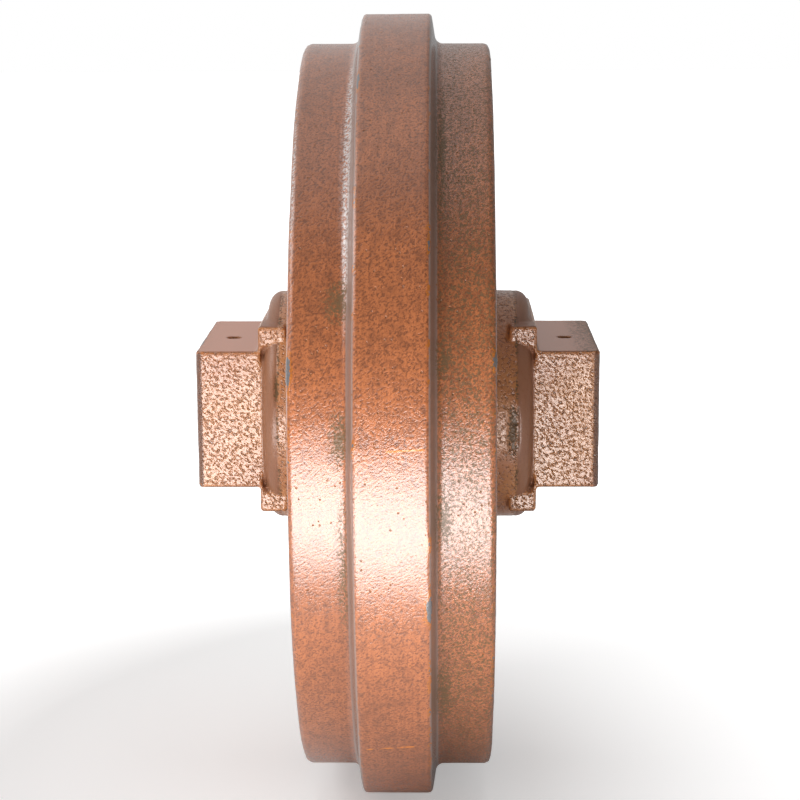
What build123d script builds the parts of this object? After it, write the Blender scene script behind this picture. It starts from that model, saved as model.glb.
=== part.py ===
from build123d import *
import os
from math import radians, tan

# Front idler of a crawler undercarriage, the wheel that guides the chain at the front.
# Millimetres. The origin is the wheel's centre, +Y lies along the axle towards the
# machine's left side, +X points forward and +Z up. Places named _y are distances from
# the wheel's middle plane, and the right side mirrors the left.

# Rim: the chain's links run on the tread to each side of the flange
TREAD_R = 250.0
TREAD_WIDTH = 125.0
TREAD_CORNER = 4.5
FLANGE_R = 270.0
FLANGE_TOP_WIDTH = 46.0
FLANGE_ROOT_WIDTH = 52.4
FLANGE_CORNER = 3.5
FLANGE_FOOT = 5.5
RIM_WALL = 25.0
RIM_EDGE_WALL = 21.0
RIM_INNER_CORNER = 3.0

# Webs: one dished wall on each side, with a closed chamber between them
WEB_RIM_Y = 47.0
WEB_HUB_Y = 42.0
WEB_WALL = 13.0
WEB_RIM_FILLET = 10.0
WEB_HUB_FILLET = 8.0
CHAMBER_FILLET = 10.0
HUB_TUBE_R = 54.0
COLLAR_R = 76.0
COLLAR_EDGE = 2.0

# Core holes: openings in the webs that held the sand core, closed by plugs
CORE_HOLE_R = 18.0
CORE_HOLE_PITCH_R = 150.0
CORE_HOLE_COUNT = 3
CORE_PLUG_WALL = 9.0
CORE_PLUG_SINK = 1.0

# Shaft and its bushings
SHAFT_R = 30.0
SHAFT_END_RECESS = 6.0
SHAFT_CHAMFER = 2.0
BUSH_WALL = 5.0
BUSH_INNER_Y = 5.0
BUSH_FLANGE_R = 42.0
BUSH_FLANGE_WALL = 3.0
RUNNING_CLEARANCE = 0.05
SEAT_CLEARANCE = 0.02
END_FLOAT = 0.2
OIL_SPACE_R = 38.0

# Floating seals: two ground rings face each other, each pressed on by a rubber ring
SEAL_PLANE_Y = 58.0
SEAL_BAY_DEPTH = 19.0
SEAL_BAY_R = 56.0
SEAL_FACE_GAP = 0.1
SEAL_RING_BORE_R = 37.5
SEAL_RING_FACE_R = 48.5
SEAL_RING_NECK_R = 44.0
SEAL_RING_LIP = 4.0
SEAL_RING_LENGTH = 15.0
SEAL_TAPER = 12.0
TORIC_START = 4.6
TORIC_WIDTH = 9.8
TORIC_ROUNDING = 3.5

# Brackets: a round seal housing, a guide block and two lugs, cast in one
HOUSING_GAP = 3.0
HOUSING_R = 79.3
HOUSING_EDGE = 3.0
HOUSING_SHOULDER_Y = 89.0
HOUSING_SHOULDER_ROUNDING = 9.0
HOUSING_NECK_R = 46.0
NOSE_R = 35.5
BRACKET_FRONT = 59.5
BRACKET_REAR = 75.7
BLOCK_INNER_Y = 93.0
BLOCK_OUTER_Y = 136.5
BLOCK_HEIGHT = 94.0
BLOCK_SIDE_CORNER = 4.5
BLOCK_EDGE = 1.5
LUG_INNER_Y = 75.4
LUG_OUTER_Y = 94.0
LUG_SPAN = 128.0
LUG_INSIDE_SPAN = 107.6
LUG_CORNER = 2.0
LUG_INSIDE_FILLET = 12.0

# Lock pins: each goes down through a block's top into the shaft, and has a thread to pull it by
PIN_R = 5.0
PIN_Y = 115.5
PIN_SINK = 3.0
PIN_HOLD = 42.0
PIN_CHAMFER = 1.0
PIN_THREAD_R = 2.5
PIN_THREAD_DEPTH = 12.0

# Shaft O-rings
O_RING_Y = 87.0
O_RING_GROOVE_DEPTH = 3.0
O_RING_GROOVE_WIDTH = 5.4
O_RING_SIDE_GAP = 0.2
O_RING_ROUNDING = 1.2

# Threaded holes in each bracket's rear face, for the yoke of the track adjuster
YOKE_HOLE_R = 7.0
YOKE_HOLE_SPACING = 52.0
YOKE_HOLE_DEPTH = 32.0

# Oil way, off centre so that it passes beside the lock pin
OIL_WAY_X = 17.0
OIL_WAY_R = 5.0
OIL_CROSS_R = 4.0
PLUG_THREAD_R = 7.0
PLUG_THREAD_LENGTH = 12.0
PLUG_THREAD_ROOM = 2.0
PLUG_HEAD_R = 10.0
PLUG_HEAD_WALL = 4.0
PLUG_SOCKET_R = 4.6
PLUG_SOCKET_DEPTH = 6.0
WASHER_WALL = 1.5

# Places that follow from the sizes above
block_y = (BLOCK_INNER_Y + BLOCK_OUTER_Y) / 2
shaft_end_y = BLOCK_OUTER_Y - SHAFT_END_RECESS
bush_bore_r = SHAFT_R + RUNNING_CLEARANCE
bush_r = bush_bore_r + BUSH_WALL
bracket_bore_r = SHAFT_R + SEAT_CLEARANCE
wheel_bay_y = SEAL_PLANE_Y - SEAL_BAY_DEPTH
bracket_bay_y = SEAL_PLANE_Y + SEAL_BAY_DEPTH
collar_end_y = SEAL_PLANE_Y - HOUSING_GAP / 2
housing_face_y = SEAL_PLANE_Y + HOUSING_GAP / 2
bush_face_y = wheel_bay_y + BUSH_FLANGE_WALL
chamber_r = TREAD_R - RIM_WALL
pin_top_z = BLOCK_HEIGHT / 2 - PIN_SINK
pin_bottom_z = SHAFT_R - PIN_HOLD


def web_face_y(radius):
    """Where the web's outer face lies at this radius."""
    slope = (WEB_RIM_Y - WEB_HUB_Y) / (chamber_r - COLLAR_R)
    return WEB_HUB_Y + slope * (radius - COLLAR_R)


def bay_r(depth):
    """Radius of a seal bay's wall at this distance from the seal's plane."""
    return SEAL_BAY_R - depth * tan(radians(SEAL_TAPER))


def neck_r(depth):
    """Radius of a seal ring's neck at this distance from the seal's plane."""
    return SEAL_RING_NECK_R - depth * tan(radians(SEAL_TAPER))


def turned(corners):
    """A solid turned about the axle from corners of (radius, y, rounding)."""
    outline = FilletPolyline(
        *[(radius, y) for radius, y, _ in corners],
        radius=[rounding for _, _, rounding in corners],
        close=True,
    )
    return revolve(make_face(outline), Axis.Y)


def both_sides(corners):
    """These corners of the left half, followed by their mirror images."""
    return corners + [(radius, -y, rounding) for radius, y, rounding in reversed(corners)]


def rod(radius, start, direction, length):
    """A round rod that starts at a point and runs in a direction."""
    return extrude(Plane(start, z_dir=direction) * Circle(radius), length)


def core_rods(radius, inner_y, outer_y):
    """Rods along Y at the places of the left web's core holes."""
    places = PolarLocations(CORE_HOLE_PITCH_R, CORE_HOLE_COUNT)
    along_axle = Plane((0, inner_y, 0), x_dir=(0, 0, 1), z_dir=(0, 1, 0))
    return [
        extrude(along_axle * place * Circle(radius), outer_y - inner_y)
        for place in places
    ]


def make_wheel_shell():
    outside = [
        (FLANGE_R, FLANGE_TOP_WIDTH / 2, FLANGE_CORNER),
        (TREAD_R, FLANGE_ROOT_WIDTH / 2, FLANGE_FOOT),
        (TREAD_R, TREAD_WIDTH / 2, TREAD_CORNER),
        (TREAD_R - RIM_EDGE_WALL, TREAD_WIDTH / 2, RIM_INNER_CORNER),
        (chamber_r, WEB_RIM_Y, WEB_RIM_FILLET),
        (COLLAR_R, WEB_HUB_Y, WEB_HUB_FILLET),
        (COLLAR_R, collar_end_y, COLLAR_EDGE),
        (bay_r(HOUSING_GAP / 2), collar_end_y, 0),
        (bay_r(SEAL_BAY_DEPTH), wheel_bay_y, 0),
        (bush_r, wheel_bay_y, 0),
        (bush_r, BUSH_INNER_Y, 0),
        (OIL_SPACE_R, BUSH_INNER_Y, 0),
    ]
    chamber = [
        (chamber_r, web_face_y(chamber_r) - WEB_WALL, CHAMBER_FILLET),
        (HUB_TUBE_R, web_face_y(HUB_TUBE_R) - WEB_WALL, CHAMBER_FILLET),
    ]
    shell = turned(both_sides(outside)) - turned(both_sides(chamber))
    for hole in core_rods(CORE_HOLE_R, 0, TREAD_WIDTH / 2):
        shell -= hole
        shell -= mirror(hole, Plane.XZ)
    return shell


def make_core_plugs():
    face_y = web_face_y(CORE_HOLE_PITCH_R - CORE_HOLE_R) - CORE_PLUG_SINK
    return Compound(children=core_rods(CORE_HOLE_R, face_y - CORE_PLUG_WALL, face_y))


def make_bushing():
    return turned(
        [
            (bush_bore_r, BUSH_INNER_Y, 0),
            (bush_r, BUSH_INNER_Y, 0),
            (bush_r, wheel_bay_y, 0),
            (BUSH_FLANGE_R, wheel_bay_y, 0),
            (BUSH_FLANGE_R, bush_face_y, 0),
            (bush_bore_r, bush_face_y, 0),
        ]
    )


def make_seal_ring(side):
    """The bracket's ring with side 1, and the wheel's with side -1."""
    face = SEAL_FACE_GAP / 2
    corners = [
        (SEAL_RING_BORE_R, face),
        (SEAL_RING_FACE_R, face),
        (SEAL_RING_FACE_R, SEAL_RING_LIP),
        (neck_r(SEAL_RING_LIP), SEAL_RING_LIP),
        (neck_r(SEAL_RING_LENGTH), SEAL_RING_LENGTH),
        (SEAL_RING_BORE_R, SEAL_RING_LENGTH),
    ]
    return turned([(radius, SEAL_PLANE_Y + side * depth, 0) for radius, depth in corners])


def make_toric_ring(side):
    """The rubber ring squeezed between a seal ring's neck and its bay."""
    end = TORIC_START + TORIC_WIDTH
    corners = [
        (neck_r(TORIC_START), TORIC_START),
        (bay_r(TORIC_START), TORIC_START),
        (bay_r(end), end),
        (neck_r(end), end),
    ]
    return turned(
        [
            (radius, SEAL_PLANE_Y + side * depth, TORIC_ROUNDING)
            for radius, depth in corners
        ]
    )


def make_housing():
    """The bracket's round seal housing, still without its bay and bore."""
    return turned(
        [
            (0, housing_face_y, 0),
            (HOUSING_R, housing_face_y, HOUSING_EDGE),
            (HOUSING_R, HOUSING_SHOULDER_Y, HOUSING_SHOULDER_ROUNDING),
            (HOUSING_NECK_R, BLOCK_INNER_Y, 0),
            (HOUSING_NECK_R, LUG_OUTER_Y, 0),
            (0, LUG_OUTER_Y, 0),
        ]
    )


def make_block_and_lugs():
    """The guide block with a lug above and below it, alike from front to back."""
    upper = [
        (LUG_INNER_Y, LUG_INSIDE_SPAN / 2, 0),
        (LUG_INNER_Y, LUG_SPAN / 2, LUG_CORNER),
        (LUG_OUTER_Y, LUG_SPAN / 2, LUG_CORNER),
        (LUG_OUTER_Y, BLOCK_HEIGHT / 2, 0),
        (BLOCK_OUTER_Y, BLOCK_HEIGHT / 2, BLOCK_EDGE),
    ]
    lower = [(y, -z, rounding) for y, z, rounding in reversed(upper)]
    inside = [
        (BLOCK_INNER_Y, -LUG_INSIDE_SPAN / 2, LUG_INSIDE_FILLET),
        (BLOCK_INNER_Y, LUG_INSIDE_SPAN / 2, LUG_INSIDE_FILLET),
    ]
    corners = upper + lower + inside
    seen_from_front = FilletPolyline(
        *[(y, z) for y, z, _ in corners],
        radius=[rounding for _, _, rounding in corners],
        close=True,
    )
    rear = Plane((-BRACKET_REAR, 0, 0), x_dir=(0, 1, 0), z_dir=(1, 0, 0))
    solid = extrude(rear * make_face(seen_from_front), BRACKET_FRONT + BRACKET_REAR)
    seen_from_above = FilletPolyline(
        (BRACKET_FRONT, 0),
        (BRACKET_FRONT, BLOCK_OUTER_Y),
        (-BRACKET_REAR, BLOCK_OUTER_Y),
        (-BRACKET_REAR, 0),
        radius=[0, BLOCK_SIDE_CORNER, BLOCK_SIDE_CORNER, 0],
        close=True,
    )
    return solid & extrude(make_face(seen_from_above), LUG_SPAN / 2, both=True)


def make_bracket():
    bay = turned(
        [
            (0, housing_face_y, 0),
            (bay_r(HOUSING_GAP / 2), housing_face_y, 0),
            (bay_r(SEAL_BAY_DEPTH), bracket_bay_y, 0),
            (0, bracket_bay_y, 0),
        ]
    )
    nose_y = bush_face_y + END_FLOAT
    nose = rod(NOSE_R, (0, nose_y, 0), (0, 1, 0), bracket_bay_y - nose_y)
    bracket = make_housing() + make_block_and_lugs() - bay + nose
    bracket -= rod(bracket_bore_r, (0, 0, 0), (0, 1, 0), BLOCK_OUTER_Y)
    bracket -= rod(PIN_R, (0, PIN_Y, 0), (0, 0, 1), BLOCK_HEIGHT)
    for z in (-YOKE_HOLE_SPACING / 2, YOKE_HOLE_SPACING / 2):
        bracket -= rod(YOKE_HOLE_R, (-BRACKET_REAR, block_y, z), (1, 0, 0), YOKE_HOLE_DEPTH)
    return bracket


def make_lock_pin():
    pin = rod(PIN_R, (0, PIN_Y, pin_bottom_z), (0, 0, 1), pin_top_z - pin_bottom_z)
    pin = chamfer(pin.edges().filter_by(GeomType.CIRCLE), PIN_CHAMFER)
    return pin - rod(PIN_THREAD_R, (0, PIN_Y, pin_top_z), (0, 0, -1), PIN_THREAD_DEPTH)


def make_shaft():
    groove_r = SHAFT_R - O_RING_GROOVE_DEPTH
    groove_inner_y = O_RING_Y - O_RING_GROOVE_WIDTH / 2
    groove_outer_y = O_RING_Y + O_RING_GROOVE_WIDTH / 2
    left_half = [
        (0, shaft_end_y, 0),
        (SHAFT_R - SHAFT_CHAMFER, shaft_end_y, 0),
        (SHAFT_R, shaft_end_y - SHAFT_CHAMFER, 0),
        (SHAFT_R, groove_outer_y, 0),
        (groove_r, groove_outer_y, 0),
        (groove_r, groove_inner_y, 0),
        (SHAFT_R, groove_inner_y, 0),
    ]
    shaft = turned(both_sides(left_half))
    for y in (-PIN_Y, PIN_Y):
        shaft -= rod(PIN_R, (0, y, pin_bottom_z), (0, 0, 1), PIN_HOLD)
    end = (OIL_WAY_X, shaft_end_y, 0)
    shaft -= rod(OIL_WAY_R, end, (0, -1, 0), shaft_end_y + OIL_WAY_R)
    shaft -= rod(PLUG_THREAD_R, end, (0, -1, 0), PLUG_THREAD_LENGTH + PLUG_THREAD_ROOM)
    shaft -= rod(OIL_CROSS_R, (OIL_WAY_X, 0, 0), (1, 0, 0), SHAFT_R)
    return shaft


def make_shaft_o_ring():
    inner_y = O_RING_Y - O_RING_GROOVE_WIDTH / 2 + O_RING_SIDE_GAP
    outer_y = O_RING_Y + O_RING_GROOVE_WIDTH / 2 - O_RING_SIDE_GAP
    groove_r = SHAFT_R - O_RING_GROOVE_DEPTH
    return turned(
        [
            (groove_r, inner_y, O_RING_ROUNDING),
            (bracket_bore_r, inner_y, O_RING_ROUNDING),
            (bracket_bore_r, outer_y, O_RING_ROUNDING),
            (groove_r, outer_y, O_RING_ROUNDING),
        ]
    )


def make_oil_plug():
    head_y = shaft_end_y + WASHER_WALL
    top_y = head_y + PLUG_HEAD_WALL
    plug = rod(PLUG_HEAD_R, (OIL_WAY_X, head_y, 0), (0, 1, 0), PLUG_HEAD_WALL)
    plug += rod(
        PLUG_THREAD_R,
        (OIL_WAY_X, shaft_end_y - PLUG_THREAD_LENGTH, 0),
        (0, 1, 0),
        PLUG_THREAD_LENGTH + WASHER_WALL,
    )
    socket = Plane((OIL_WAY_X, top_y, 0), z_dir=(0, -1, 0)) * RegularPolygon(PLUG_SOCKET_R, 6)
    return plug - extrude(socket, PLUG_SOCKET_DEPTH)


def make_oil_plug_washer():
    start = (OIL_WAY_X, shaft_end_y, 0)
    washer = rod(PLUG_HEAD_R, start, (0, 1, 0), WASHER_WALL)
    return washer - rod(PLUG_THREAD_R, start, (0, 1, 0), WASHER_WALL)


single_pieces = {
    "wheel_shell": make_wheel_shell(),
    "shaft": make_shaft(),
    "oil_plug": make_oil_plug(),
    "oil_plug_washer": make_oil_plug_washer(),
}
sided_pieces = {
    "bracket": make_bracket(),
    "bushing": make_bushing(),
    "lock_pin": make_lock_pin(),
    "shaft_o_ring": make_shaft_o_ring(),
    "bracket_seal_ring": make_seal_ring(1),
    "bracket_toric_ring": make_toric_ring(1),
    "wheel_seal_ring": make_seal_ring(-1),
    "wheel_toric_ring": make_toric_ring(-1),
    "core_plugs": make_core_plugs(),
}

os.makedirs("parts", exist_ok=True)
for name, piece in single_pieces.items():
    export_step(piece, f"parts/{name}.step")
for name, piece in sided_pieces.items():
    export_step(piece, f"parts/left_{name}.step")
    export_step(mirror(piece, Plane.XZ), f"parts/right_{name}.step")
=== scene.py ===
import math
import random

import bpy
import numpy as np
from mathutils import Matrix, Vector, noise


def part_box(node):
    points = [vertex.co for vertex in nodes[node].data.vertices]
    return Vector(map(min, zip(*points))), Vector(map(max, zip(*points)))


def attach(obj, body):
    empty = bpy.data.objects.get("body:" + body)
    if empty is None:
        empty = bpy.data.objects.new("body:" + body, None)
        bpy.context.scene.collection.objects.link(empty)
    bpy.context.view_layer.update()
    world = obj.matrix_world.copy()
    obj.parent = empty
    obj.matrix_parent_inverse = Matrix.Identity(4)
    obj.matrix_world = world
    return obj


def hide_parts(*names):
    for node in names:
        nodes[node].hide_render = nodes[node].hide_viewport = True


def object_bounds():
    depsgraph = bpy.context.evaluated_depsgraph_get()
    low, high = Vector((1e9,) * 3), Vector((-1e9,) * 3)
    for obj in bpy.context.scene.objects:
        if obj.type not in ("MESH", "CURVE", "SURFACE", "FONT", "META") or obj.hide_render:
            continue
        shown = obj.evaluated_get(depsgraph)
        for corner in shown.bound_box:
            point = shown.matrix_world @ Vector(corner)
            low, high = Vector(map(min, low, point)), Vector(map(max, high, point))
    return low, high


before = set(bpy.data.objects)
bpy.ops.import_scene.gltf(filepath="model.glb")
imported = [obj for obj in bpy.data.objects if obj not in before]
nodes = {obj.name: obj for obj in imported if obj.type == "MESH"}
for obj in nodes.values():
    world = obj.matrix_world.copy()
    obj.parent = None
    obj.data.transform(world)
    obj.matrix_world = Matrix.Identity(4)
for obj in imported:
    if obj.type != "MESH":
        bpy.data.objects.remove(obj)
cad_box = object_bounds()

random.seed(7)
scene = bpy.context.scene
MM = 0.001

# Sizes read from the frame
FLANGE_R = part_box("wheel_shell")[1].x
RIM_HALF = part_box("wheel_shell")[1].y
BLOCK_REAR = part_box("left_bracket")[0].x
BLOCK_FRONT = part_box("left_bracket")[1].x
BLOCK_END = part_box("left_bracket")[1].y

# Sizes of the wheel's outline, as the casting was made
TREAD_R = FLANGE_R - 20 * MM
FLANGE_HALF = 23 * MM
FLANGE_ROOT_HALF = 26.2 * MM
FLANGE_CORNER = 3.5 * MM
FLANGE_FOOT = 5.5 * MM
RIM_CORNER = 4.5 * MM
RIM_EDGE_R = TREAD_R - 21 * MM
RIM_WEB_R = TREAD_R - 25 * MM
WEB_RIM_Y = 47 * MM
WEB_HUB_Y = 42 * MM
COLLAR_R = 76 * MM
COLLAR_END_Y = 56.5 * MM
BAY_MOUTH_R = 55.7 * MM
BAY_FLOOR_R = 52 * MM
BAY_FLOOR_Y = 39 * MM
SHELL_BORE_R = 35.05 * MM
WHEEL_STEPS = 512

# Core holes in the webs, each closed by a plug with a weld round it
CORE_PITCH_R = 150 * MM
CORE_HOLE_R = 18 * MM
CORE_COUNT = 3

# Bracket sizes
BLOCK_HALF_HEIGHT = 47 * MM
BLOCK_START = 94 * MM
HUB_R = 79.3 * MM
PARTING_Y = 80.2 * MM


def rounded(corners):
    """Points of a closed outline, from corners of (radius, y, rounding, spacing).

    The spacing is that of the points on the straight run after the corner.
    """
    points = []
    count = len(corners)
    ends = []
    for i, (radius, y, rounding, _) in enumerate(corners):
        here = Vector((radius, y))
        before = (Vector(corners[i - 1][:2]) - here).normalized()
        after = (Vector(corners[(i + 1) % count][:2]) - here).normalized()
        if rounding == 0:
            ends.append([here])
            continue
        half = before.angle(after) / 2
        reach = rounding / math.tan(half)
        centre = here + (before + after).normalized() * (rounding / math.sin(half))
        start = here + before * reach - centre
        end = here + after * reach - centre
        turn = start.angle_signed(end)
        steps = max(4, int(abs(turn) * rounding / (0.9 * MM)))
        arc = []
        for k in range(steps + 1):
            arc.append(centre + Matrix.Rotation(-turn * k / steps, 2) @ start)
        ends.append(arc)
    for i, arc in enumerate(ends):
        points += arc
        start, end = arc[-1], ends[(i + 1) % count][0]
        steps = max(1, round((end - start).length / corners[i][3]))
        points += [start.lerp(end, k / steps) for k in range(1, steps)]
    return np.array([(p.x, p.y) for p in points])


def mesh_piece(name, vertices, faces, smooth=True):
    mesh = bpy.data.meshes.new(name)
    mesh.from_pydata(vertices.tolist(), [], faces.tolist())
    mesh.update()
    if smooth:
        mesh.shade_smooth()
    piece = bpy.data.objects.new(name, mesh)
    scene.collection.objects.link(piece)
    return piece


def wheel_outline():
    flat, fine, web, hidden = 2.6 * MM, 1.6 * MM, 6 * MM, 12 * MM
    half = [
        (FLANGE_R, FLANGE_HALF, FLANGE_CORNER, fine),
        (TREAD_R, FLANGE_ROOT_HALF, FLANGE_FOOT, flat),
        (TREAD_R, RIM_HALF, RIM_CORNER, flat),
        (RIM_EDGE_R, RIM_HALF, 3 * MM, flat),
        (RIM_WEB_R, WEB_RIM_Y, 10 * MM, web),
        (COLLAR_R, WEB_HUB_Y, 8 * MM, 3 * MM),
        (COLLAR_R, COLLAR_END_Y, 2 * MM, 4 * MM),
        (BAY_MOUTH_R, COLLAR_END_Y, 0, hidden),
        (BAY_FLOOR_R, BAY_FLOOR_Y, 0, hidden),
        (SHELL_BORE_R, BAY_FLOOR_Y, 0, hidden),
    ]
    other = [(r, -y, rounding) for r, y, rounding, _ in half]
    spacings = [spacing for *_, spacing in half]
    mirrored = []
    for i in range(len(half) - 1, -1, -1):
        spacing = spacings[i - 1] if i else flat
        mirrored.append((*other[i], spacing))
    return rounded(half + mirrored)


def lathe(outline, steps):
    """Vertices and quads of an outline turned about the Y axis."""
    turns = np.linspace(0, 2 * math.pi, steps, endpoint=False)
    radius, y = outline[:, 0], outline[:, 1]
    x = np.outer(np.cos(turns), radius)
    z = np.outer(np.sin(turns), radius)
    vertices = np.stack([x, np.broadcast_to(y, x.shape), z], axis=-1).reshape(-1, 3)
    count = len(outline)
    i, j = np.meshgrid(np.arange(steps), np.arange(count), indexing="ij")
    next_i, next_j = (i + 1) % steps, (j + 1) % count
    faces = np.stack(
        [i * count + j, next_i * count + j, next_i * count + next_j, i * count + next_j],
        axis=-1,
    )
    return vertices, faces.reshape(-1, 4)


def add_attribute(piece, name, values):
    attribute = piece.data.attributes.new(name, "FLOAT", "POINT")
    attribute.data.foreach_set("value", np.asarray(values, dtype=np.float32))


def vertex_normals(mesh):
    normals = np.empty(len(mesh.vertices) * 3, dtype=np.float32)
    mesh.vertex_normals.foreach_get("vector", normals)
    return normals.reshape(-1, 3)


def places(mesh):
    found = np.empty(len(mesh.vertices) * 3, dtype=np.float32)
    mesh.vertices.foreach_get("co", found)
    return found.reshape(-1, 3)


def lumps(points, size, seed=0.0):
    """Smooth noise from -1 to 1 at each point, with lumps of about this size."""
    scaled = points / size
    return np.array([noise.noise(Vector(p) + Vector((seed, seed, seed))) for p in scaled])


# The wheel's edges, as (y, radius). Left is the machine's left, at the right of the photograph.
WHEEL_EDGES = {
    "left rim": (RIM_HALF - 1.5 * MM, TREAD_R - 1.5 * MM),
    "right rim": (-RIM_HALF + 1.5 * MM, TREAD_R - 1.5 * MM),
    "left flange": (FLANGE_HALF - 1 * MM, FLANGE_R - 1 * MM),
    "right flange": (-FLANGE_HALF + 1 * MM, FLANGE_R - 1 * MM),
}

# Chips seen in the photograph: edge, angle up from the front in degrees, half length, half
# width and depth in mm, and how far through the paint they go: 0.36 to rust, 1 to steel
SEEN_CHIPS = [
    ("right rim", 15.1, 17, 3.0, 0.8, 1.0),
    ("right rim", 6.5, 18, 2.6, 0.3, 0.34),
    ("right rim", 28.7, 4.0, 2.5, 0.4, 0.38),
    ("right rim", 34.0, 2.5, 2.5, 0.4, 0.38),
    ("right flange", 59.0, 17, 2.0, 0.3, 1.0),
    ("right flange", 68.9, 2.5, 2.5, 0.4, 0.38),
    ("right flange", 5.2, 7.0, 2.4, 0.4, 0.7),
    ("left flange", 33.9, 3.0, 2.5, 0.5, 0.8),
    ("left flange", 31.4, 9.0, 1.8, 0.2, 0.9),
    ("left flange", 25.5, 8.0, 2.0, 0.3, 0.38),
    ("left flange", -7.0, 9.0, 2.8, 0.8, 0.5),
    ("left flange", -16.2, 16, 3.4, 0.7, 1.0),
    ("left flange", -28.7, 18, 2.4, 0.3, 0.38),
    ("left flange", -46.9, 16, 2.4, 0.3, 0.38),
    ("left rim", 77.5, 6.0, 3.0, 0.4, 0.38),
    ("left rim", 16.7, 9.0, 3.0, 0.7, 1.0),
    ("left rim", -31.0, 40, 2.6, 0.4, 0.38),
]

# Dirt that the chain left: y in mm, angle, half length and half width in mm, strength
DIRT_PATCHES = [
    (31.5, 16.8, 18, 8, 1.0),
    (31.5, -5.4, 32, 8, 1.0),
    (31.5, -36.0, 50, 8, 1.0),
    (30.0, 50.0, 100, 6, 0.9),
    (-31.5, 24.8, 16, 12, 1.0),
    (-30.5, 6.0, 22, 9, 1.0),
    (-29.5, -12.0, 60, 5, 0.7),
    (46.0, 0.0, 1500, 60, 0.33),
    (46.0, 180.0, 1500, 60, 0.33),
]

# A painted highlight: pale lines along the foot of the flange and the edge of the rim, at the upper right, standing in
# for light glancing off them
PAINTED_HIGHLIGHT_LINES = [
    (-27.0, 48.0, 130, 4.5),
    (-62.0, 46.0, 100, 2.5),
]


def chance_chips():
    """Smaller chips at chance places along each edge."""
    chips = []
    for edge in WHEEL_EDGES:
        for _ in range(60):
            length = random.uniform(1.5, 4.5)
            through = random.choice((0.3, 0.36, 0.36, 0.8))
            chips.append((edge, random.uniform(-180, 180), length, random.uniform(1.0, 2.4), 0.3, through))
    return chips


def nearness(points, y, radius, degrees, length, width):
    """1 at a place on the wheel, falling to 0 at this far along and across it."""
    angle = np.arctan2(points[:, 2], points[:, 0])
    along = (angle - math.radians(degrees) + math.pi) % (2 * math.pi) - math.pi
    across = np.hypot(points[:, 1] - y, np.hypot(points[:, 0], points[:, 2]) - radius)
    return np.clip(1 - np.hypot(along * radius / length, across / width), 0, 1)


def make_wheel():
    vertices, faces = lathe(wheel_outline(), WHEEL_STEPS)
    piece = mesh_piece("wheel_casting", vertices, faces)
    points, normals = places(piece.data), vertex_normals(piece.data)
    cast = np.hypot(points[:, 0], points[:, 2]) > 60 * MM
    swell = 0.22 * lumps(points, 45 * MM) + 0.10 * lumps(points, 9 * MM, 5)
    swell = np.where(cast, swell, 0)
    wear = np.zeros(len(points))
    dent = np.zeros(len(points))
    for edge, degrees, length, width, depth, through in SEEN_CHIPS + chance_chips():
        near = nearness(points, *WHEEL_EDGES[edge], degrees, length * MM, width * MM)
        wear = np.maximum(wear, near * through)
        dent = np.maximum(dent, np.minimum(near * 2, 1) * depth)
    dirt = np.zeros(len(points))
    tread = (normals[:, 1] < 0.7) & (points[:, 1] < RIM_HALF)
    for y, degrees, length, width, strength in DIRT_PATCHES:
        near = nearness(points, y * MM, TREAD_R, degrees, length * MM, width * MM)
        near *= tread & (np.abs(points[:, 1] - y * MM) < 19 * MM)
        dirt = np.maximum(dirt, near * strength)
    # painted highlight: pale lines where light glances off the flange's foot and the rim's edge
    painted_highlight = np.zeros(len(points))
    for y, degrees, length, width in PAINTED_HIGHLIGHT_LINES:
        near = nearness(points, y * MM, TREAD_R, degrees, length * MM, width * MM)
        painted_highlight = np.maximum(painted_highlight, np.minimum(1, near * 2.5))
    moved = points + normals * ((swell - dent) * MM)[:, None]
    piece.data.vertices.foreach_set("co", moved.astype(np.float32).ravel())
    add_attribute(piece, "wear", wear)
    add_attribute(piece, "dirt", dirt)
    add_attribute(piece, "painted_highlight", painted_highlight)
    piece.data.update()
    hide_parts("wheel_shell")
    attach(piece, "wheel")
    return piece


def make_core_plugs(side):
    """Plugs a little proud of the web, each with its bead of weld."""
    outward = 1 if side == "left" else -1
    face = WEB_HUB_Y + (WEB_RIM_Y - WEB_HUB_Y) * (CORE_PITCH_R - COLLAR_R) / (RIM_WEB_R - COLLAR_R)
    rings = [(0.0, 0.3), (8, 0.3), (14, 0.3), (15.6, 0.8), (16.6, 2.2), (18.2, 3.0), (20, 2.4), (21.2, 0.6), (21.8, -2)]
    steps = 72
    vertices, faces = [], []
    for k in range(CORE_COUNT):
        turn = 2 * math.pi * k / CORE_COUNT
        centre = Vector((CORE_PITCH_R * math.cos(turn), 0, CORE_PITCH_R * math.sin(turn)))
        first = len(vertices)
        for radius, rise in rings:
            for i in range(steps):
                at = 2 * math.pi * i / steps
                ripple = 0.35 * math.sin(19 * at) if 16 < radius < 21 else 0
                y = outward * (face + (rise + ripple) * MM)
                vertices.append(centre + Vector((radius * MM * math.cos(at), y, radius * MM * math.sin(at))))
        for j in range(len(rings) - 1):
            for i in range(steps):
                a, b = first + j * steps + i, first + j * steps + (i + 1) % steps
                quad = (a, a + steps, b + steps, b)
                faces.append(quad if outward > 0 else quad[::-1])
    piece = mesh_piece(f"{side}_core_plug_welds", np.array(vertices), np.array(faces))
    for name in ("wear", "dirt", "painted_highlight"):
        add_attribute(piece, name, np.zeros(len(vertices)))
    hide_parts(f"{side}_core_plugs")
    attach(piece, "wheel")
    return piece


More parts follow.
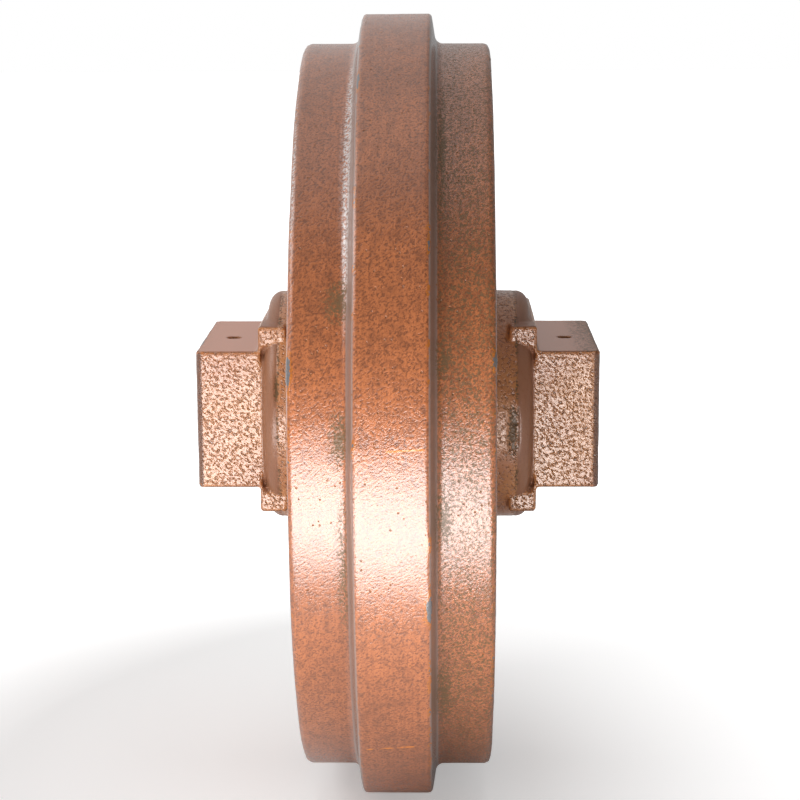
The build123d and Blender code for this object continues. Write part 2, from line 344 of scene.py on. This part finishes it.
def make_bracket(side):
    """A bracket with the grain of its casting, made from the frame's own shape."""
    name = f"{side}_bracket"
    mesh = nodes[name].data.copy()
    mesh.name = f"{side}_bracket_casting"
    piece = bpy.data.objects.new(mesh.name, mesh)
    scene.collection.objects.link(piece)
    remesh = piece.modifiers.new("remesh", "REMESH")
    remesh.mode = "VOXEL"
    remesh.voxel_size = 1.3 * MM
    depsgraph = bpy.context.evaluated_depsgraph_get()
    mesh = bpy.data.meshes.new_from_object(piece.evaluated_get(depsgraph))
    piece.modifiers.clear()
    piece.data = mesh
    mesh.shade_smooth()
    points, normals = places(mesh), vertex_normals(mesh)
    x, away, up = points[:, 0], np.abs(points[:, 1]), np.abs(points[:, 2])
    radius = np.hypot(x, points[:, 2])
    on_top = (np.abs(normals[:, 2]) > 0.85) & (np.abs(up - BLOCK_HALF_HEIGHT) < 1.5 * MM)
    machined = on_top & (away > BLOCK_START)
    bored = (radius < 58 * MM) & (away < 78 * MM)
    shoulder = (away > PARTING_Y + 0.8 * MM) & (away < 92.5 * MM) & (np.abs(normals[:, 0]) < 0.9)
    shoulder |= (away > PARTING_Y + 0.8 * MM) & (away < 92.5 * MM) & (up < 50 * MM)
    smooth = np.where(machined, 1.0, np.where(shoulder, 0.8, 0.0))
    rough = np.where(machined | bored, 0, np.where(shoulder, 0.3, 1))
    swell = 0.30 * lumps(points, 22 * MM, 3) + 0.12 * lumps(points, 6 * MM, 1)
    parting = np.clip(1 - np.abs(away - PARTING_Y) / (1.3 * MM), 0, 1)
    parting *= (radius > 66 * MM) & ((up < 54 * MM) | (np.abs(normals[:, 0]) < 0.8))
    parting *= np.clip(0.55 + 1.2 * lumps(points, 11 * MM, 17), 0, 1)
    along = points - Vector(BRACKET_PIT[side][0]) * MM
    pit = np.clip(1.5 - np.linalg.norm(along / (Vector(BRACKET_PIT[side][1]) * MM), axis=1), 0, 1)
    pit *= x > 0
    moved = points + normals * ((swell * rough - 0.7 * parting - 1.5 * pit) * MM)[:, None]
    mesh.vertices.foreach_set("co", moved.astype(np.float32).ravel())
    add_attribute(piece, "smooth", smooth)
    soot = machined * np.clip((away - 116 * MM) / (22 * MM), 0, 1) * 0.7
    soot *= 1 if side == "left" else 0.15
    add_attribute(piece, "dirt", np.maximum(np.maximum(parting * 0.9, pit), soot))
    add_attribute(piece, "wear", block_wear(points))
    mesh.update()
    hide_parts(name)
    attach(piece, "carrier")
    return piece


# A dark pit in the cast face of each bracket: its place and its half sizes, in mm
BRACKET_PIT = {
    "left": ((78, 77.6, -5), (12, 3, 15)),
    "right": ((74, -81, 24), (12, 1.2, 8)),
}


def block_wear(points):
    """1 along the sharp edges of the guide block, in patches."""
    x, away, up = points[:, 0], np.abs(points[:, 1]), np.abs(points[:, 2])
    to_end = np.abs(away - BLOCK_END)
    to_top = np.abs(up - BLOCK_HALF_HEIGHT)
    to_front = np.minimum(np.abs(x - BLOCK_FRONT), np.abs(x - BLOCK_REAR))
    gap = np.minimum(np.hypot(to_end, to_top), np.hypot(to_front, to_top))
    gap = np.minimum(gap, np.hypot(to_front - 1.2 * MM, to_end - 1.2 * MM))
    patches = np.clip(0.45 + 1.3 * lumps(points, 7 * MM, 31), 0, 1)
    return np.where(away > 90 * MM, np.clip(1.1 - gap / (3.2 * MM), 0, 1) * patches, 0)


class Nodes:
    """Short calls for building a material's nodes."""

    def __init__(self, name):
        self.material = bpy.data.materials.new(name)
        self.material.use_nodes = True
        self.tree = self.material.node_tree
        self.shader = self.tree.nodes["Principled BSDF"]

    def new(self, kind, **values):
        node = self.tree.nodes.new(kind)
        for key, value in values.items():
            setattr(node, key, value)
        return node

    def put(self, socket, value):
        if hasattr(value, "is_output"):
            self.tree.links.new(value, socket)
        else:
            socket.default_value = value

    def place(self):
        return self.new("ShaderNodeTexCoord").outputs["Object"]

    def slanted(self, degrees, stretch):
        """Object coordinates stretched along a slant across the front."""
        node = self.new("ShaderNodeMapping", vector_type="TEXTURE")
        self.put(node.inputs["Vector"], self.place())
        node.inputs["Rotation"].default_value = (math.radians(degrees), 0, 0)
        node.inputs["Scale"].default_value = (1, stretch, 1)
        return node.outputs[0]

    def ringed(self, stretch):
        """Object coordinates stretched round the wheel."""
        node = self.new("ShaderNodeMapping", vector_type="TEXTURE")
        self.put(node.inputs["Vector"], self.place())
        node.inputs["Scale"].default_value = (stretch, 1, stretch)
        return node.outputs[0]

    def noise(self, size, detail=2.0, roughness=0.5, distortion=0.0, where=None, offset=0.0):
        node = self.new("ShaderNodeTexNoise")
        if where is None:
            where = self.place()
        if offset:
            shift = self.new("ShaderNodeVectorMath", operation="ADD")
            self.put(shift.inputs[0], where)
            shift.inputs[1].default_value = (offset, offset, offset)
            where = shift.outputs[0]
        self.put(node.inputs["Vector"], where)
        node.inputs["Scale"].default_value = 1 / size
        node.inputs["Detail"].default_value = detail
        node.inputs["Roughness"].default_value = roughness
        node.inputs["Distortion"].default_value = distortion
        return node.outputs["Fac"]

    def spots(self, size, offset=0.0):
        node = self.new("ShaderNodeTexVoronoi")
        shift = self.new("ShaderNodeVectorMath", operation="ADD")
        self.put(shift.inputs[0], self.place())
        shift.inputs[1].default_value = (offset, offset, offset)
        self.put(node.inputs["Vector"], shift.outputs[0])
        node.inputs["Scale"].default_value = 1 / size
        return node.outputs["Distance"]

    def maths(self, operation, a, b=0.0, clamp=False):
        node = self.new("ShaderNodeMath", operation=operation, use_clamp=clamp)
        self.put(node.inputs[0], a)
        self.put(node.inputs[1], b)
        return node.outputs[0]

    def step(self, value, low, high, to_low=0.0, to_high=1.0):
        node = self.new("ShaderNodeMapRange", clamp=True, interpolation_type="SMOOTHSTEP")
        self.put(node.inputs["Value"], value)
        for key, number in (("From Min", low), ("From Max", high), ("To Min", to_low), ("To Max", to_high)):
            node.inputs[key].default_value = number
        return node.outputs["Result"]

    def mix(self, amount, a, b):
        node = self.new("ShaderNodeMix", data_type="RGBA")
        self.put(node.inputs["Factor"], amount)
        self.put(node.inputs[6], a)
        self.put(node.inputs[7], b)
        return node.outputs[2]

    def attribute(self, name):
        return self.new("ShaderNodeAttribute", attribute_name=name).outputs["Fac"]

    def bump(self, height, distance, strength=1.0, normal=None):
        node = self.new("ShaderNodeBump")
        node.inputs["Strength"].default_value = strength
        node.inputs["Distance"].default_value = distance
        self.put(node.inputs["Height"], height)
        if normal is not None:
            self.put(node.inputs["Normal"], normal)
        return node.outputs["Normal"]


def colour(red, green, blue):
    """A colour given as the 0 to 255 levels seen on screen."""
    levels = []
    for level in (red, green, blue):
        v = level / 255
        levels.append(v / 12.92 if v <= 0.04045 else ((v + 0.055) / 1.055) ** 2.4)
    return (*levels, 1.0)


PAINT_DARK = colour(104, 58, 34)
PAINT_DEEP = colour(162, 94, 54)
PAINT_WARM = colour(182, 106, 60)
GOLD_DEEP = colour(176, 108, 58)
GOLD_WARM = colour(198, 132, 76)
# painted shade for the hollows of the relief, also used for the wheel's pits
SHADE_IN_HOLLOWS = colour(128, 80, 44)
DIRT = colour(106, 80, 54)
RUST = colour(206, 118, 30)
STEEL = colour(96, 93, 94)
# grey-mauve of the flange walls, partly a painted sheen of the bright surroundings
WALL_GREY_AND_SHEEN = colour(137, 114, 104)
TOP = colour(188, 122, 88)
SHOULDER = colour(140, 98, 78)
# colour of the painted highlight along the flange's foot and the rim's edge
PAINTED_HIGHLIGHT_COLOUR = colour(206, 196, 192)
# painted shade colour for the blocks' rounded corners
CORNER_SHADE = colour(96, 56, 36)


def lacquer(n, base, roughness, normal, coat=1.0):
    """Bronze-brown paint: a warm body with a little metal in it under a clear, hard skin."""
    n.put(n.shader.inputs["Base Color"], base)
    n.shader.inputs["Metallic"].default_value = 0.08
    n.shader.inputs["Roughness"].default_value = 0.5
    n.shader.inputs["Specular IOR Level"].default_value = 0.2
    n.put(n.shader.inputs["Coat Weight"], coat)
    n.shader.inputs["Coat IOR"].default_value = 1.9
    n.put(n.shader.inputs["Coat Roughness"], roughness)
    n.put(n.shader.inputs["Normal"], normal)
    n.put(n.shader.inputs["Coat Normal"], normal)


def worn(n, base, size):
    """Adds rust and then bare steel where the wear attribute is high, with ragged edges."""
    wear = n.attribute("wear")
    ragged = n.maths("ADD", wear, n.step(n.noise(size, 3.0, offset=3), 0.3, 0.7, -0.14, 0.14))
    rust = n.maths("MULTIPLY", n.step(ragged, 0.14, 0.20), n.step(wear, 0.0, 0.05))
    base = n.mix(rust, base, n.mix(n.noise(0.9 * MM), RUST, PAINT_DARK))
    return n.mix(n.step(ragged, 0.42, 0.48), base, STEEL)


def soiled(n, base):
    """Adds mottled dirt where the dirt attribute is high; gives the colour and the coat left."""
    mottle = n.step(n.noise(1.8 * MM, 4.0, 0.75, offset=8), 0.4, 0.6, -0.4, 0.4)
    amount = n.step(n.maths("ADD", n.attribute("dirt"), mottle), 0.15, 0.75)
    amount = n.maths("MULTIPLY", amount, n.step(n.attribute("dirt"), 0.0, 0.15))
    return n.mix(amount, base, DIRT), n.maths("SUBTRACT", 1.0, n.maths("MULTIPLY", amount, 0.75))


def scratch(n, y, half_length, z, slope):
    """1 on a thin line across the front of the flange, sizes in mm."""
    split = n.new("ShaderNodeSeparateXYZ")
    n.put(split.inputs[0], n.place())
    along = n.maths("SUBTRACT", split.outputs["Y"], y * MM)
    lift = n.maths("SUBTRACT", split.outputs["Z"], n.maths("MULTIPLY", along, slope))
    off = n.maths("ABSOLUTE", n.maths("SUBTRACT", lift, z * MM))
    line = n.step(off, 0.4 * MM, 0.8 * MM, 1.0, 0.0)
    within = n.step(n.maths("ABSOLUTE", along), (half_length - 2) * MM, half_length * MM, 1.0, 0.0)
    broken = n.step(n.noise(5 * MM, 1.0), 0.35, 0.5)
    front = n.step(split.outputs["X"], 0.1, 0.15)
    return n.maths("MULTIPLY", n.maths("MULTIPLY", line, within), n.maths("MULTIPLY", broken, front))


def flange_wall(n):
    """1 on the two flat sides of the flange, which the chain links rub smooth; the grey colour given them is partly a
    painted sheen.
    """
    split = n.new("ShaderNodeSeparateXYZ")
    n.put(split.inputs[0], n.new("ShaderNodeTexCoord").outputs["Normal"])
    aside = n.step(n.maths("ABSOLUTE", split.outputs["Y"]), 0.45, 0.8)
    place = n.new("ShaderNodeSeparateXYZ")
    n.put(place.inputs[0], n.place())
    squares = [n.maths("POWER", place.outputs[axis], 2) for axis in ("X", "Z")]
    radius = n.maths("SQRT", n.maths("ADD", *squares))
    return n.maths("MULTIPLY", aside, n.step(radius, TREAD_R + 0.8 * MM, TREAD_R + 1.8 * MM))


def painted_corner_shade(n):
    """1 on the rounded upright corners of the guide blocks, painted dark there as shade where they turn away from the
    front.
    """
    split = n.new("ShaderNodeSeparateXYZ")
    n.put(split.inputs[0], n.new("ShaderNodeTexCoord").outputs["Normal"])
    aside = n.maths("ABSOLUTE", split.outputs["Y"])
    turning = n.maths("MULTIPLY", n.step(aside, 0.06, 0.3), n.step(aside, 0.95, 0.99, 1.0, 0.0))
    place = n.new("ShaderNodeSeparateXYZ")
    n.put(place.inputs[0], n.place())
    outer = n.step(n.maths("ABSOLUTE", place.outputs["Y"]), 0.129, 0.131)
    return n.maths("MULTIPLY", turning, outer)


def wheel_paint():
    n = Nodes("wheel_paint")
    broad = n.step(n.noise(80 * MM, 3.0), 0.3, 0.7)
    base = n.mix(broad, PAINT_DEEP, PAINT_WARM)
    streaks = n.step(n.noise(1.6 * MM, 2.0, where=n.ringed(40.0)), 0.4, 0.6)
    base = n.mix(n.maths("MULTIPLY", streaks, 0.18), base, PAINT_DARK)
    blotch = n.step(n.noise(7 * MM, 3.0, 0.6), 0.45, 0.65, 0.0, 0.35)
    base = n.mix(blotch, base, PAINT_DARK)
    ridges = n.noise(1.3 * MM, 2.0, 0.6, where=n.slanted(45, 1.8))
    fine = n.noise(0.9 * MM, 1.0)
    rubbed_wall_and_sheen = flange_wall(n)
    # the flange walls, rubbed smooth, get a grey-mauve colour that is partly a painted sheen
    base = n.mix(rubbed_wall_and_sheen, base, WALL_GREY_AND_SHEEN)
    # painted highlight: the pale lines, broken up by noise, mixed into the colour
    base = n.mix(n.maths("MULTIPLY", n.attribute("painted_highlight"), n.step(n.noise(1.6 * MM, 2.0), 0.35, 0.6)), base, PAINTED_HIGHLIGHT_COLOUR)
    cast = n.maths("SUBTRACT", 1.0, n.maths("MULTIPLY", rubbed_wall_and_sheen, 0.85))
    # painted shade: the low parts of the paint's relief darkened toward the dark paint colour
    low = n.maths("MULTIPLY", n.step(n.maths("ADD", ridges, n.maths("MULTIPLY", fine, 0.4)), 0.5, 0.78, 0.85, 0.0), cast)
    base = n.mix(low, base, PAINT_DARK)
    # dark specks: small pits, sunk in the bump and thin in coat, coloured with the painted hollow shade
    specks = n.maths("MULTIPLY", n.step(n.spots(6.5 * MM), 0.07, 0.12, 1.0, 0.0), 0.85)
    base = n.mix(specks, base, SHADE_IN_HOLLOWS)
    base = worn(n, base, 2.5 * MM)
    lines = n.maths("MAXIMUM", scratch(n, 8.4, 12, 23.6, 0.05), scratch(n, -2.8, 16, -183.8, 0.1))
    base = n.mix(lines, base, RUST)
    base, coat = soiled(n, base)
    coat = n.maths("MULTIPLY", coat, n.maths("SUBTRACT", 1.0, n.maths("MULTIPLY", specks, 0.9)))
    height = n.maths("ADD", ridges, n.maths("MULTIPLY", fine, 0.3))
    height = n.maths("MULTIPLY", n.maths("SUBTRACT", height, specks), cast)
    lacquer(n, base, 0.235, n.bump(height, 0.30 * MM), coat)
    return n.material


def bracket_paint():
    """Coarser than the wheel, and more golden, with painted shade in narrow brown hollows between the grains."""
    n = Nodes("bracket_paint")
    broad = n.step(n.noise(40 * MM, 3.0), 0.3, 0.7)
    cast = n.maths("SUBTRACT", 1.0, n.attribute("smooth"))
    golden = n.mix(broad, GOLD_DEEP, GOLD_WARM)
    machined = n.step(n.attribute("smooth"), 0.84, 0.96)
    base = n.mix(cast, n.mix(machined, SHOULDER, TOP), golden)
    grain = n.noise(1.8 * MM, 2.5, 0.65, 0.4, where=n.slanted(-40, 1.5))
    raised = n.step(grain, 0.28, 0.52)
    # painted shade: the low parts of the grain darkened to the hollow shade colour
    grain_hollow_shade = n.maths("MULTIPLY", n.maths("SUBTRACT", 1.0, raised), cast)
    base = n.mix(grain_hollow_shade, base, SHADE_IN_HOLLOWS)
    # painted shade on the blocks' rounded outer corners
    base = n.mix(n.maths("MULTIPLY", painted_corner_shade(n), 0.85), base, CORNER_SHADE)
    base = worn(n, base, 2.2 * MM)
    base, coat = soiled(n, base)
    coat = n.maths("MULTIPLY", coat, n.mix(cast, n.mix(machined, (0.2,) * 4, (0.6,) * 4), (1.0,) * 4))
    tiny = n.maths("MULTIPLY", n.noise(1.0 * MM, 1.0), 0.35)
    height = n.maths("MULTIPLY", n.maths("ADD", raised, tiny), cast)
    lacquer(n, base, 0.27, n.bump(height, 0.45 * MM), coat)
    return n.material


def metal(name, light, dark, smooth=0.3, rough=0.5):
    """Bare metal, a little uneven in colour and polish."""
    n = Nodes(name)
    n.put(n.shader.inputs["Base Color"], n.mix(n.step(n.noise(6 * MM, 3.0), 0.3, 0.7), light, dark))
    n.shader.inputs["Metallic"].default_value = 1.0
    n.put(n.shader.inputs["Roughness"], n.step(n.noise(3 * MM, 3.0), 0.3, 0.7, smooth, rough))
    return n.material


def rubber():
    n = Nodes("rubber")
    n.put(n.shader.inputs["Base Color"], n.mix(n.noise(2 * MM, 3.0), colour(34, 34, 35), colour(52, 51, 50)))
    n.shader.inputs["Roughness"].default_value = 0.6
    return n.material


def turned_steel():
    """The shaft: bright where it is turned, with the brown paint on its two ends."""
    n = Nodes("turned_steel")
    split = n.new("ShaderNodeSeparateXYZ")
    n.put(split.inputs[0], n.place())
    away = n.maths("ABSOLUTE", split.outputs["Y"])
    end = n.step(n.maths("ADD", away, n.step(n.noise(3 * MM, 3.0), 0.3, 0.7, -0.4 * MM, 0.4 * MM)), 0.1290, 0.1296)
    steel = n.mix(n.step(n.noise(6 * MM, 3.0), 0.3, 0.7), colour(150, 148, 146), colour(120, 117, 114))
    paint = n.mix(n.step(n.noise(2 * MM, 2.0), 0.35, 0.6), PAINT_DARK, PAINT_DEEP)
    n.put(n.shader.inputs["Base Color"], n.mix(end, steel, paint))
    n.put(n.shader.inputs["Metallic"], n.step(end, 0.0, 1.0, 1.0, 0.1))
    n.put(n.shader.inputs["Roughness"], n.step(n.noise(3 * MM, 3.0), 0.3, 0.7, 0.32, 0.48))
    return n.material


def dress(piece, material):
    piece.data.materials.clear()
    piece.data.materials.append(material)


def make_stage():
    """A white floor, plain white to the camera far from the wheel. Near the wheel its glow to the camera drops, most
    toward -Y, painting a soft shade over the real shadow; to reflections it glows brighter behind and toward -Y.
    """
    size = 12.0
    low = cad_box[0].z
    mesh = bpy.data.meshes.new("floor")
    corners = [(-size, -size, low), (size, -size, low), (size, size, low), (-size, size, low)]
    mesh.from_pydata(corners, [], [(0, 1, 2, 3)])
    floor = bpy.data.objects.new("floor", mesh)
    scene.collection.objects.link(floor)
    n = Nodes("floor")
    n.shader.inputs["Base Color"].default_value = (0.88, 0.88, 0.88, 1)
    n.shader.inputs["Roughness"].default_value = 0.9
    n.shader.inputs["Specular IOR Level"].default_value = 0.0
    n.shader.inputs["Emission Color"].default_value = (1, 1, 1, 1)
    split = n.new("ShaderNodeSeparateXYZ")
    n.put(split.inputs[0], n.place())
    path = n.new("ShaderNodeLightPath")
    behind = n.step(split.outputs["X"], -1.2, -0.3, 0.9, 0.0)
    behind = n.maths("MULTIPLY", behind, n.step(split.outputs["Y"], -0.5, 0.5, 1.1, 0.1))
    mirrored = n.maths("MULTIPLY", path.outputs["Is Glossy Ray"], behind)
    squares = [n.maths("POWER", split.outputs[axis], 2) for axis in ("X", "Y")]
    # painted shade: the glow to the camera drops near the wheel, and drops further toward -Y
    far = n.step(n.maths("SQRT", n.maths("ADD", *squares)), 0.2, 0.75)
    near = n.step(split.outputs["Y"], -0.4, 0.4, *FLOOR_GLOW_PAINTED_SHADE)
    seen = n.maths("MULTIPLY", path.outputs["Is Camera Ray"], n.maths("MAXIMUM", far, near))
    n.put(n.shader.inputs["Emission Strength"], n.maths("ADD", seen, mirrored))
    mesh.materials.append(n.material)


def make_world():
    """White to the camera; to everything else brighter behind and to the left, darker in front."""
    world = bpy.data.worlds.new("studio")
    world.use_nodes = True
    scene.world = world
    n = Nodes.__new__(Nodes)
    n.tree = world.node_tree
    back = n.tree.nodes["Background"]
    split = n.new("ShaderNodeSeparateXYZ")
    n.put(split.inputs[0], n.new("ShaderNodeTexCoord").outputs["Generated"])
    depth = n.step(split.outputs["X"], 0.0, 0.65, WORLD_BACK, WORLD_FRONT)
    side = n.step(split.outputs["Y"], -0.4, 0.4, 1.35, 0.5)
    beside = n.step(n.maths("ABSOLUTE", split.outputs["Y"]), 0.55, 0.85)
    beside = n.maths("MULTIPLY", beside, n.step(split.outputs["X"], -0.3, 0.0))
    dimmed = n.maths("SUBTRACT", 1.0, n.maths("MULTIPLY", beside, 0.7))
    fill = n.maths("MULTIPLY", n.maths("MULTIPLY", depth, side), dimmed)
    seen = n.new("ShaderNodeLightPath").outputs["Is Camera Ray"]
    n.put(back.inputs["Strength"], n.maths("MAXIMUM", fill, seen))
    back.inputs["Color"].default_value = (1, 1, 1, 1)


# the floor's glow to the camera near the wheel at -Y and +Y; the low -Y value paints shade there
FLOOR_GLOW_PAINTED_SHADE = (0.05, 0.60)
WORLD_BACK = 0.64
WORLD_FRONT = 0.12


def area_lamp(name, place, normal, size, brightness, mirrored=True):
    """A soft rectangular lamp of this brightness, where 1 is as bright as white paper."""
    lamp = bpy.data.lights.new(name, "AREA")
    lamp.shape = "RECTANGLE"
    lamp.size, lamp.size_y = size
    lamp.energy = brightness * math.pi * size[0] * size[1]
    holder = bpy.data.objects.new(name, lamp)
    holder.location = place
    holder.rotation_mode = "QUATERNION"
    holder.rotation_quaternion = Vector(normal).to_track_quat("-Z", "Y")
    holder.visible_glossy = mirrored
    scene.collection.objects.link(holder)


# The camera stands where the photograph was taken from
CAMERA_DISTANCE = 1.55
CAMERA_SIDE = 29.4 * MM
CAMERA_RISE = math.radians(10.95)
CAMERA_ROLL = math.radians(-0.285)
CAMERA_AIM = Vector((0, 0.45 * MM, 2.2 * MM))
CAMERA_FOCUS = 2201 / 800


def make_camera():
    lens = bpy.data.cameras.new("camera")
    lens.sensor_width = 36
    lens.lens = CAMERA_FOCUS * 36
    camera = bpy.data.objects.new("camera", lens)
    place = Vector((CAMERA_DISTANCE * math.cos(CAMERA_RISE), CAMERA_SIDE, CAMERA_DISTANCE * math.sin(CAMERA_RISE)))
    ahead = (CAMERA_AIM - place).normalized()
    right = ahead.cross(Vector((0, 0, 1))).normalized()
    up = right.cross(ahead)
    rolled = right * math.cos(CAMERA_ROLL) + up * math.sin(CAMERA_ROLL)
    up = rolled.cross(ahead)
    turn = Matrix((rolled, up, -ahead)).transposed()
    camera.matrix_world = Matrix.Translation(place) @ turn.to_4x4()
    scene.collection.objects.link(camera)
    scene.camera = camera


make_camera()
make_world()
make_stage()
area_lamp("low_key", (0.745, -0.14, -0.165), (-0.37, 0, 0.93), (0.74, 0.53), 7.3)
area_lamp("high_left", (0.6, -1.6, 1.4), (-0.6, 1.6, -1.4), (1.2, 1.2), 3.0)
area_lamp("overhead", (0.1, -0.1, 1.9), (0, 0, -1.0), (1.2, 1.2), 2.2, mirrored=False)

paint = wheel_paint()
coarse = bracket_paint()
dress(make_wheel(), paint)
for side in ("left", "right"):
    dress(make_bracket(side), coarse)
    dress(make_core_plugs(side), paint)
plain = {
    "shaft": turned_steel(),
    "lock_pin": metal("pin_steel", colour(118, 112, 106), colour(86, 78, 72)),
    "bushing": metal("bearing_bronze", colour(196, 158, 96), colour(172, 130, 74)),
    "seal_ring": metal("seal_iron", colour(132, 132, 134), colour(104, 104, 106), 0.18, 0.3),
    "oil_plug": metal("plated_steel", colour(178, 172, 152), colour(150, 144, 126)),
    "washer": metal("copper", colour(214, 140, 104), colour(186, 108, 76)),
    "ring": rubber(),
}
kinds = ("washer", "oil_plug", "lock_pin", "bushing", "seal_ring", "ring", "shaft")
for name, node in nodes.items():
    if "bracket" in name.split("_")[-1:] or name == "wheel_shell" or "core_plugs" in name:
        dress(node, paint)
        continue
    kind = next(kind for kind in kinds if kind in name)
    dress(node, plain[kind])

scene.view_settings.view_transform = "Standard"
